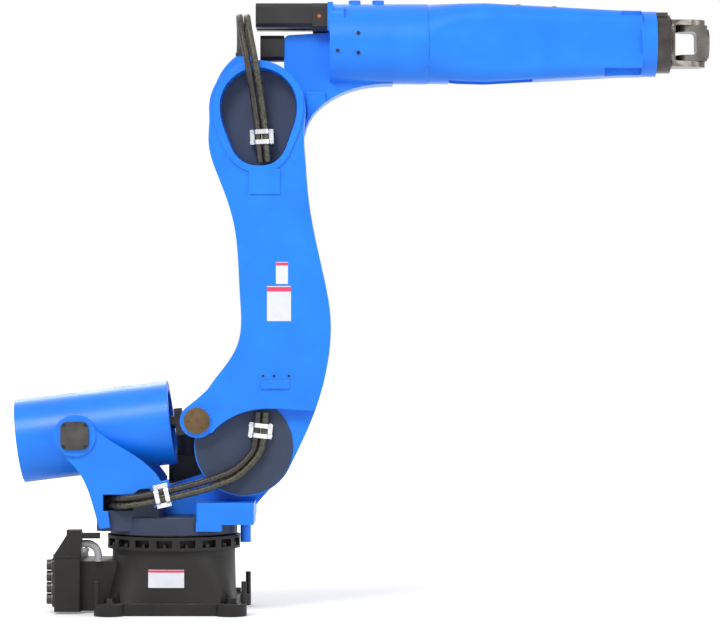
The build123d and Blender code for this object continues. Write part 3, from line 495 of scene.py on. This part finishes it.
def screw_group(name, hexagonal):
    """Screw heads on every point: a round head with a hexagon socket, or a hexagon head on its washer."""
    tree = bpy.data.node_groups.new(name, "GeometryNodeTree")
    for label, kind in (("Geometry", "NodeSocketGeometry"), ("Radius", "NodeSocketFloat"),
                        ("Height", "NodeSocketFloat"), ("Material", "NodeSocketMaterial")):
        tree.interface.new_socket(label, in_out="INPUT", socket_type=kind)
    tree.interface.new_socket("Geometry", in_out="OUTPUT", socket_type="NodeSocketGeometry")
    ins = tree.nodes.new("NodeGroupInput").outputs
    outs = tree.nodes.new("NodeGroupOutput").inputs

    def number(operation, first, second):
        return arithmetic(tree, operation, first, second)

    def cylinder(sides, radius, depth, lift):
        """A cylinder whose foot stands at the height lift."""
        node = add_node(tree, "GeometryNodeMeshCylinder")
        node.inputs["Vertices"].default_value = sides
        wire(tree, radius, node.inputs["Radius"])
        wire(tree, depth, node.inputs["Depth"])
        shift = add_node(tree, "ShaderNodeCombineXYZ")
        wire(tree, number("ADD", number("MULTIPLY", depth, 0.5), lift), shift.inputs["Z"])
        move = add_node(tree, "GeometryNodeTransform")
        wire(tree, node.outputs["Mesh"], move.inputs["Geometry"])
        wire(tree, shift.outputs[0], move.inputs["Translation"])
        return move.outputs["Geometry"]

    radius, height = ins["Radius"], ins["Height"]
    if hexagonal:
        join = add_node(tree, "GeometryNodeJoinGeometry")
        washer_radius = number("MULTIPLY", radius, WASHER_WIDTH)
        washer_height = number("MULTIPLY", height, WASHER_HEIGHT)
        wire(tree, cylinder(6, radius, height, washer_height), join.inputs["Geometry"])
        wire(tree, cylinder(WASHER_SIDES, washer_radius, washer_height, 0.0), join.inputs["Geometry"])
        head = join.outputs["Geometry"]
    else:
        cut = add_node(tree, "GeometryNodeMeshBoolean", operation="DIFFERENCE")
        socket_radius = number("MULTIPLY", radius, SOCKET_WIDTH)
        socket_floor = number("MULTIPLY", height, SOCKET_FLOOR)
        wire(tree, cylinder(ROUND_SIDES, radius, height, 0.0), cut.inputs["Mesh 1"])
        wire(tree, cylinder(6, socket_radius, height, socket_floor), cut.inputs["Mesh 2"])
        head = cut.outputs["Mesh"]
    aim = add_node(tree, "GeometryNodeInputNamedAttribute", data_type="FLOAT_VECTOR")
    aim.inputs["Name"].default_value = "aim"
    turn = add_node(tree, "FunctionNodeAlignRotationToVector", axis="Z")
    wire(tree, aim.outputs["Attribute"], turn.inputs["Vector"])
    spread = add_node(tree, "GeometryNodeInstanceOnPoints")
    wire(tree, ins["Geometry"], spread.inputs["Points"])
    wire(tree, head, spread.inputs["Instance"])
    wire(tree, turn.outputs["Rotation"], spread.inputs["Rotation"])
    real = add_node(tree, "GeometryNodeRealizeInstances")
    wire(tree, spread.outputs["Instances"], real.inputs["Geometry"])
    paint = add_node(tree, "GeometryNodeSetMaterial")
    wire(tree, real.outputs["Geometry"], paint.inputs["Geometry"])
    wire(tree, ins["Material"], paint.inputs["Material"])
    wire(tree, paint.outputs["Geometry"], outs["Geometry"])
    return tree


SOCKET_SCREWS = screw_group("socket screws", False)
HEXAGON_BOLTS = screw_group("hexagon bolts", True)


def screws(name, body, places, radius, height, group=SOCKET_SCREWS, material=BLACK_OXIDE,
           slot="dark_steel"):
    """One joined piece of screw heads. Each place is a point on the surface and the way the head faces."""
    mesh = bpy.data.meshes.new(name + "_points")
    mesh.from_pydata([tuple(point) for point, _ in places], [], [])
    aim = mesh.attributes.new("aim", "FLOAT_VECTOR", "POINT")
    for i, (_, facing) in enumerate(places):
        aim.data[i].vector = Vector(facing).normalized()
    carrier = bpy.data.objects.new(name + "_points", mesh)
    bpy.context.scene.collection.objects.link(carrier)
    modifier = carrier.modifiers.new("screws", "NODES")
    modifier.node_group = group
    values = {"Radius": radius, "Height": height, "Material": material}
    for item in group.interface.items_tree:
        if item.in_out == "INPUT" and item.name in values:
            modifier[item.identifier] = values[item.name]
    bpy.context.view_layer.update()
    evaluated = carrier.evaluated_get(bpy.context.evaluated_depsgraph_get())
    made = bpy.data.meshes.new_from_object(evaluated)
    bpy.data.objects.remove(carrier)
    if "aim" in made.attributes:
        made.attributes.remove(made.attributes["aim"])
    return add_piece(name, made, material, body)


def ring_places(centre, axis, start, radius, count, first=0.0):
    """Places on a circle about centre, square to axis, where start is the direction of the first one at 0."""
    axis = Vector(axis).normalized()
    start = Vector(start).normalized()
    side = axis.cross(start)
    places = []
    for i in range(count):
        angle = math.radians(first + 360 * i / count)
        point = Vector(centre) + radius * (math.cos(angle) * start + math.sin(angle) * side)
        places.append((point, axis))
    return places


def corner_places(centre, facing, across, up, half_across, half_up):
    """Four places at the corners of a rectangle about centre."""
    across, up = Vector(across), Vector(up)
    return [(Vector(centre) + i * half_across * across + j * half_up * up, facing)
            for i in (-1, 1) for j in (-1, 1)]


def turned_piece(name, body, centre, axis, outline, material, sides=32):
    """A turned piece: outline lists (distance along the axis, radius) and is spun about the axis."""
    axis = Vector(axis).normalized()
    start = axis.orthogonal().normalized()
    side = axis.cross(start)
    verts, faces = [], []
    for along, radius in outline:
        for i in range(sides):
            angle = 2 * math.pi * i / sides
            outward = math.cos(angle) * start + math.sin(angle) * side
            verts.append(Vector(centre) + along * axis + radius * outward)
    for ring in range(len(outline) - 1):
        for i in range(sides):
            j = (i + 1) % sides
            a, b = ring * sides, (ring + 1) * sides
            faces.append((a + i, a + j, b + j, b + i))
    last = (len(outline) - 1) * sides
    faces.append(tuple(reversed(range(sides))))
    faces.append(tuple(range(last, last + sides)))
    mesh = bpy.data.meshes.new(name)
    mesh.from_pydata([tuple(v) for v in verts], [], faces)
    mesh.shade_smooth()
    mesh.set_sharp_from_angle(angle=SMOOTH_ANGLE)
    return add_piece(name, mesh, material, body)


def film(name, node, body, x_range, z_range, material, columns=16, rows=10, thickness=0.0007):
    """A thin film laid on the near side of a node, with a map of its own called label."""
    source = frame["nodes"][node]
    tree = BVHTree.FromObject(source, bpy.context.evaluated_depsgraph_get())
    inverse = source.matrix_world.inverted()
    turn = inverse.to_3x3()
    verts, grid = [], {}
    for layer, lift in ((0, thickness), (1, FILM_LIFT)):
        for r in range(rows + 1):
            for c in range(columns + 1):
                x = x_range[0] + (x_range[1] - x_range[0]) * c / columns
                z = z_range[0] + (z_range[1] - z_range[0]) * r / rows
                hit = tree.ray_cast(inverse @ Vector((x, FILM_RAY_START, z)), turn @ FAR)[0]
                surface = source.matrix_world @ hit
                grid[layer, r, c] = len(verts)
                verts.append((x, surface.y - lift, z))
    faces = []
    for r in range(rows):
        for c in range(columns):
            faces.append((grid[0, r, c], grid[0, r, c + 1], grid[0, r + 1, c + 1], grid[0, r + 1, c]))
            faces.append((grid[1, r, c], grid[1, r + 1, c], grid[1, r + 1, c + 1], grid[1, r, c + 1]))
    for c in range(columns):
        faces.append((grid[0, 0, c], grid[1, 0, c], grid[1, 0, c + 1], grid[0, 0, c + 1]))
        faces.append((grid[0, rows, c], grid[0, rows, c + 1], grid[1, rows, c + 1], grid[1, rows, c]))
    for r in range(rows):
        faces.append((grid[0, r, 0], grid[0, r + 1, 0], grid[1, r + 1, 0], grid[1, r, 0]))
        faces.append((grid[0, r, columns], grid[1, r, columns],
                      grid[1, r + 1, columns], grid[0, r + 1, columns]))
    mesh = bpy.data.meshes.new(name)
    mesh.from_pydata(verts, [], faces)
    own_map = mesh.uv_layers.new(name="label")
    for loop in mesh.loops:
        x, _, z = verts[loop.vertex_index]
        own_map.data[loop.index].uv = ((x - x_range[0]) / (x_range[1] - x_range[0]),
                                       (z - z_range[0]) / (z_range[1] - z_range[0]))
    return add_piece(name, mesh, material, body)


# Hoses

def beside(route, side, across=None):
    """The points of one hose of a pair: square to the runs of the route, or set off along x."""
    normals = []
    for (x0, _, z0), (x1, _, z1) in zip(route, route[1:]):
        run = math.hypot(x1 - x0, z1 - z0)
        normals.append((-(z1 - z0) / run, (x1 - x0) / run))
    points = []
    for i, (x, y, z) in enumerate(route):
        before = normals[max(i - 1, 0)]
        after = normals[min(i, len(normals) - 1)]
        reach = side * HOSE_SPREAD / (1 + before[0] * after[0] + before[1] * after[1])
        shift = (reach * (before[0] + after[0]), reach * (before[1] + after[1]))
        if across is not None:
            shift = (side * HOSE_SPREAD * across, 0)
        points.append(Vector((x + shift[0], y, z + shift[1])))
    return points


def smooth_line(points, step):
    """Evenly spaced points on the NURBS line through the route."""
    data = bpy.data.curves.new("route", "CURVE")
    data.dimensions = "3D"
    data.resolution_u = CURVE_STEPS
    spline = data.splines.new("NURBS")
    spline.points.add(len(points) - 1)
    for target, point in zip(spline.points, points):
        target.co = (*point, 1)
    spline.order_u = 3
    spline.use_endpoint_u = True
    carrier = bpy.data.objects.new("route", data)
    bpy.context.scene.collection.objects.link(carrier)
    bpy.context.view_layer.update()
    line = bpy.data.meshes.new_from_object(carrier.evaluated_get(bpy.context.evaluated_depsgraph_get()))
    bpy.data.objects.remove(carrier)
    raw = [v.co.copy() for v in line.vertices]
    lengths = [0.0]
    for a, b in zip(raw, raw[1:]):
        lengths.append(lengths[-1] + (b - a).length)
    count = max(2, round(lengths[-1] / step))
    even, k = [], 0
    for i in range(count + 1):
        wanted = lengths[-1] * i / count
        while k < len(raw) - 2 and lengths[k + 1] < wanted:
            k += 1
        part = (wanted - lengths[k]) / max(1e-9, lengths[k + 1] - lengths[k])
        even.append(raw[k].lerp(raw[k + 1], part))
    return even, lengths[-1]


def ribbed_hose(name, points, material, bodies, start, end, *nodes):
    """A ribbed hose along a route, made as one piece that is attached to no body; the CAD hoses that it
    replaces are hidden.
    """
    line, length = smooth_line(points, RIDGE_PITCH / RIDGE_STEPS)
    sides = HOSE_SIDES
    verts, faces, marks = [], [], []
    forward = (line[1] - line[0]).normalized()
    normal = forward.orthogonal().normalized()
    for i, point in enumerate(line):
        ahead = line[min(i + 1, len(line) - 1)] - line[max(i - 1, 0)]
        turn = forward.rotation_difference(ahead.normalized())
        normal = (turn @ normal).normalized()
        forward = ahead.normalized()
        side = forward.cross(normal)
        at = length * i / (len(line) - 1)
        radius = HOSE_RADIUS - RIDGE_HEIGHT * (0.5 + 0.5 * math.cos(2 * math.pi * at / RIDGE_PITCH))
        for j in range(sides):
            angle = 2 * math.pi * j / sides
            verts.append(point + radius * (math.cos(angle) * normal + math.sin(angle) * side))
            marks.append((j / sides, at / RUN_MAP_LENGTH))
    for i in range(len(line) - 1):
        for j in range(sides):
            k = (j + 1) % sides
            faces.append((i * sides + j, i * sides + k, (i + 1) * sides + k, (i + 1) * sides + j))
    last = (len(line) - 1) * sides
    faces.append(tuple(reversed(range(sides))))
    faces.append(tuple(range(last, last + sides)))
    mesh = bpy.data.meshes.new(name)
    mesh.from_pydata([tuple(v) for v in verts], [], faces)
    own_map = mesh.uv_layers.new(name="run")
    for loop in mesh.loops:
        own_map.data[loop.index].uv = marks[loop.vertex_index]
    mesh.shade_smooth()
    piece = add_piece(name, mesh, material, None)
    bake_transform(piece)
    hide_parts(*nodes)


def make_hoses():
    for number, side, material in ((1, 1, BROWN_HOSE), (2, -1, OLIVE_HOSE)):
        low = beside(CAROUSEL_ROUTE, side) + beside(SHOULDER_ROUTE, side)
        ribbed_hose(f"low_hose_{number}", low, material, ("carousel", "lower_arm"), *SHOULDER_BEND,
                    f"carousel_hose_{number}", f"shoulder_hose_{number}")
        high = beside(ARM_ROUTE, side) + beside(ELBOW_ROUTE, side, across=-1)
        ribbed_hose(f"high_hose_{number}", high, material, ("lower_arm", "elbow"), *ELBOW_BEND,
                    f"arm_hose_{number}", f"elbow_hose_{number}")


# Screws, labels and small fittings

def laid(node, places, reach=0.05):
    """The same places, moved along the way they face onto the surface of a node."""
    source = frame["nodes"][node]
    tree = BVHTree.FromObject(source, bpy.context.evaluated_depsgraph_get())
    inverse = source.matrix_world.inverted()
    settled = []
    for point, facing in places:
        facing = Vector(facing).normalized()
        start = inverse @ (Vector(point) + reach * facing)
        hit = tree.ray_cast(start, inverse.to_3x3() @ -facing)[0]
        if hit is not None:
            settled.append((source.matrix_world @ hit, facing))
    return settled


def set_base_screws():
    pockets = ring_places((0, 0, POCKET_FLOOR), UP, AHEAD, POCKET_RING, POCKET_COUNT, FIRST_POCKET)
    screws("slewing_bolts", "root", pockets, *SLEWING_BOLT, HEXAGON_BOLTS)
    anchors = [(Vector((i * ANCHOR_HALF, j * ANCHOR_HALF, FOOT_TOP)), UP) for i in (-1, 1) for j in (-1, 1)]
    screws("anchor_bolts", "root", anchors, *ANCHOR_BOLT, HEXAGON_BOLTS)
    low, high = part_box("rear_connector_panel")
    panel = [(Vector((low[0], y, z)), -AHEAD)
             for y in (low[1] + SIDE_INSET, high[1] - SIDE_INSET)
             for z in (low[2] + PANEL_END_INSET, high[2] - PANEL_END_INSET)]
    screws("panel_screws", "root", laid("rear_connector_panel", panel, 0.03), *PANEL_SCREW)
    low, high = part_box("connector_box_lid")
    lid = [(Vector((x, y, high[2])), UP)
           for x in (low[0] + SIDE_INSET, high[0] - SIDE_INSET)
           for y in (low[1] + LID_NEAR_INSET, high[1] - SIDE_INSET)]
    screws("lid_screws", "root", laid("connector_box_lid", lid, 0.005), *LID_SCREW)


def set_clamp_bolts():
    slope = Vector((math.cos(CLAMP_SLOPE), 0, math.sin(CLAMP_SLOPE)))
    across = Vector((-slope.z, 0, slope.x))
    for node, body, centre, along, beside_it in (
        ("carousel_clamp", "carousel", (-0.025, -0.205, 0.377), slope, across),
        ("shoulder_clamp", "lower_arm", (0.282, -0.165, 0.580), UP, AHEAD),
        ("elbow_clamp", "lower_arm", (0.286, -0.165, 1.505), UP, AHEAD),
    ):
        corners = corner_places(centre, NEAR, along, beside_it, CLAMP_BOLT_ALONG, CLAMP_BOLT_ACROSS)
        screws(node + "_bolts", body, laid(node, corners), *CLAMP_BOLT, HEXAGON_BOLTS, BRIGHT_ZINC,
               "bright_zinc")


def set_balancer_screws():
    for node, facing in (("trunnion_cap_near", NEAR), ("trunnion_cap_far", FAR)):
        square = corner_places(TRUNNION, facing, AHEAD, UP, CAP_SCREW_HALF, CAP_SCREW_HALF)
        cap = [(point + CAP_FACE * facing, facing) for point, facing in square]
        screws(node + "_screws", "carousel", laid(node, cap, 0.2), *CAP_SCREW)
    centre = BALANCER_PIN + PIN_FACE * NEAR
    pin = ring_places(centre, NEAR, AHEAD, PIN_RING, PIN_SCREWS) + [(centre, NEAR)]
    screws("balancer_pin_screws", "lower_arm", laid("balancer_pin", pin), *PIN_SCREW,
           material=BRONZE_STEEL, slot="bronze_steel")


def set_arm_screws():
    seam = [(Vector((x, SEAM_FACE, z)), NEAR) for x, z in SEAM_BOLTS]
    screws("seam_bolts", "elbow", laid("elbow_casting", seam, 0.2), *SEAM_BOLT)
    dots = [(Vector((x, ARM_FACE, ARM_DOT_HEIGHT)), NEAR) for x in ARM_DOTS]
    screws("arm_dots", "lower_arm", laid("lower_arm_casting", dots), *ARM_DOT)
    plugs = [(Vector((x, 0, FOREARM_TOP)), UP) for x in FOREARM_PLUGS]
    screws("forearm_plugs", "forearm", laid("forearm_casting", plugs, 0.1), *FOREARM_PLUG, HEXAGON_BOLTS)


def set_motor_screws():
    for node, body, centre, facing, other, half in (
        ("shoulder_motor", "carousel", SHOULDER + MOTOR_END * FAR, FAR, UP, SHOULDER_MOTOR_HALF),
        ("elbow_motor", "elbow", ELBOW + MOTOR_END * FAR, FAR, UP, ELBOW_MOTOR_HALF),
        ("slew_motor", "carousel", SLEW_MOTOR_PLACE, UP, FAR, SLEW_MOTOR_HALF),
    ):
        corners = laid(node, corner_places(centre, facing, AHEAD, other, half, half), 0.2)
        screws(node + "_screws", body, corners, *MOTOR_SCREW)


def make_fittings():
    places = [(y, z) for y in CONNECTOR_ROWS for z in CONNECTOR_HEIGHTS]
    for number, (y, z) in enumerate(places, start=1):
        turned_piece(f"connector_collar_{number}", "root", (PANEL_X, y, z), -AHEAD,
                     COLLAR_OUTLINE, GREY_STEEL)
    for number, x in NUT_PLACES:
        turned_piece(f"elbow_nut_{number}", "elbow", (x, NUT_Y, NUT_FOOT), UP,
                     NUT_OUTLINE, GREEN_PLASTIC, sides=6)
    turned_piece("motor_mark", "elbow", (MARK_X, -MOTOR_SPREAD - MOTOR_FLANGE_HALF, MARK_HEIGHT), NEAR,
                 MARK_OUTLINE, ORANGE_PLASTIC)


def make_labels():
    for name, node, body, x_range, z_range, slot in LABELS:
        film(name, node, body, x_range, z_range, LABEL_FILM)


# Camera, floor and light

def make_camera():
    data = bpy.data.cameras.new("camera")
    data.lens = CAMERA_LENS
    data.sensor_width = SENSOR_WIDTH
    camera = bpy.data.objects.new("camera", data)
    camera.location = CAMERA_PLACE
    camera.rotation_euler = (math.radians(90), 0, 0)
    bpy.context.scene.collection.objects.link(camera)
    bpy.context.scene.camera = camera


def seen_rays(tree):
    """1 for rays that see a surface straight, in gloss or through glass."""
    path = add_node(tree, "ShaderNodeLightPath")
    seen = arithmetic(tree, "MAXIMUM", path.outputs["Is Camera Ray"], path.outputs["Is Glossy Ray"])
    return arithmetic(tree, "MAXIMUM", seen, path.outputs["Is Transmission Ray"])


def make_floor():
    mesh = bpy.data.meshes.new("floor")
    h = FLOOR_HALF
    mesh.from_pydata([(-h, -h, 0), (h, -h, 0), (h, h, 0), (-h, h, 0)], [], [(0, 1, 2, 3)])
    floor = bpy.data.objects.new("floor", mesh)
    bpy.context.scene.collection.objects.link(floor)
    material, tree, shader = start_material("floor_white")
    shader.inputs["Base Color"].default_value = (0.86, 0.86, 0.86, 1)
    shader.inputs["Roughness"].default_value = 0.9
    shader.inputs["Specular IOR Level"].default_value = 0.0
    shader.inputs["Emission Color"].default_value = (1, 1, 1, 1)
    place = add_node(tree, "ShaderNodeNewGeometry").outputs["Position"]
    reach = add_node(tree, "ShaderNodeVectorMath", operation="LENGTH")
    wire(tree, place, reach.inputs[0])
    glow = map_values(tree, reach.outputs["Value"], *FLOOR_GLOW_REACH, *FLOOR_GLOW)
    wire(tree, arithmetic(tree, "MULTIPLY", seen_rays(tree), glow), shader.inputs["Emission Strength"])
    mesh.materials.append(material)


def make_world():
    world = bpy.data.worlds.new("studio")
    bpy.context.scene.world = world
    world.use_nodes = True
    tree = world.node_tree
    tree.nodes.clear()
    seen = add_node(tree, "ShaderNodeBackground")
    seen.inputs["Color"].default_value = (1, 1, 1, 1)
    fill = add_node(tree, "ShaderNodeBackground")
    fill.inputs["Color"].default_value = (1, 1, 1, 1)
    fill.inputs["Strength"].default_value = 0.55
    mix = add_node(tree, "ShaderNodeMixShader")
    wire(tree, seen_rays(tree), mix.inputs[0])
    wire(tree, fill.outputs[0], mix.inputs[1])
    wire(tree, seen.outputs[0], mix.inputs[2])
    wire(tree, mix.outputs[0], add_node(tree, "ShaderNodeOutputWorld").inputs["Surface"])


def make_lamp(name, place, aim, size, power):
    data = bpy.data.lights.new(name, "AREA")
    data.shape = "DISK"
    data.size = size
    data.energy = power
    lamp = bpy.data.objects.new(name, data)
    lamp.location = place
    lamp.rotation_euler = (Vector(aim) - Vector(place)).to_track_quat("-Z", "Y").to_euler()
    bpy.context.scene.collection.objects.link(lamp)


make_camera()
make_floor()
make_world()
make_lamp("key_lamp", (-2.2, -6.0, 6.5), (0.6, 0, 1.0), 3.2, 420)
make_lamp("side_lamp", (6.0, -3.5, 3.0), (0.6, 0, 1.2), 3.0, 110)
make_lamp("back_lamp", (-1.0, 6.0, 5.0), (0.6, 0, 1.0), 3.0, 160)

bpy.context.scene.view_settings.view_transform = "Standard"

dress_nodes()
make_hoses()
set_base_screws()
set_clamp_bolts()
set_balancer_screws()
set_arm_screws()
set_motor_screws()
make_fittings()
make_labels()
